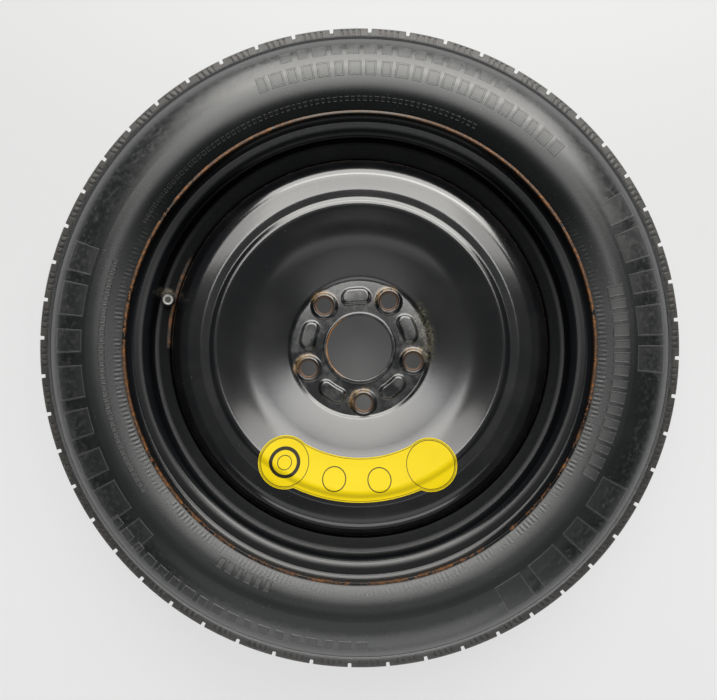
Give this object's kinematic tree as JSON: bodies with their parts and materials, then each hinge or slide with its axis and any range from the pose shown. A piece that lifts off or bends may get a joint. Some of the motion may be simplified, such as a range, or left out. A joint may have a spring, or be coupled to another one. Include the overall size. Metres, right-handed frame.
{
  "type": "space saver spare wheel",
  "caption": "Narrow temporary spare wheel: a pressed steel disc welded into a rolled rim, with a thin tubeless tyre and a snap-in valve.",
  "frame": {"origin": "on the wheel axis, in the plane of the inboard sidewall on which the wheel lies", "axes": "+Z along the wheel axis towards the outer face; the valve lies at 165.9 degrees from +X, anticlockwise seen from outside"},
  "size_m": [0.619, 0.619, 0.132],
  "materials": {
    "tyre_rubber": "matt black rubber, dusty grey on the shoulder",
    "rim_paint": "glossy black paint, rust on the flange's cut edge",
    "disc_paint": "glossy black paint, ochre dirt and rust round the nut seats",
    "weld_metal": "painted over weld bead",
    "label_film": "glossy yellow film with thin dark lines",
    "valve_rubber": "matt black rubber",
    "valve_brass": "turned brass",
    "core_brass": "turned brass",
    "core_gasket": "off-white sealing ring",
    "core_steel": "spring wire",
    "core_cup": "dark rubber",
    "cap_plastic": "dark grey moulded plastic",
    "cap_seal": "black rubber washer"
  },
  "bodies": {
    "wheel": {"tyre": "tyre_rubber", "rim": "rim_paint", "disc": "disc_paint", "disc_welds": "weld_metal", "label": "label_film", "valve_body": "valve_rubber", "valve_stem": "valve_brass", "core_plug": "core_brass", "core_barrel": "core_brass", "core_gasket": "core_gasket", "core_spring": "core_steel"},
    "cap_lifter": {"cap_seal": "cap_seal"},
    "cap": {"valve_cap": "cap_plastic"},
    "pin": {"core_pin": "core_brass", "core_cup": "core_cup"}
  },
  "joints": [
    {"name": "pin_press", "type": "slide", "parent": "wheel", "child": "pin", "axis": [-0.2836, 0.0712, -0.9563], "range_m": [0, 0.001], "stiffness_N_per_m": 1000, "deforming": ["core_spring"]},
    {"name": "cap_lift", "type": "slide", "parent": "wheel", "child": "cap_lifter", "axis": [0.2836, -0.0712, 0.9563], "range_m": [0, 0.00635]},
    {"name": "cap_turn", "type": "hinge", "parent": "cap_lifter", "child": "cap", "pos_m": [-0.18677, 0.04691, 0.09704], "axis": [0.2836, -0.0712, 0.9563], "range_deg": [0, 2885]}
  ],
  "couplings": [
    {"joint": "cap_turn", "follows": "cap_lift", "rad_per_m": 7915.8}
  ]
}
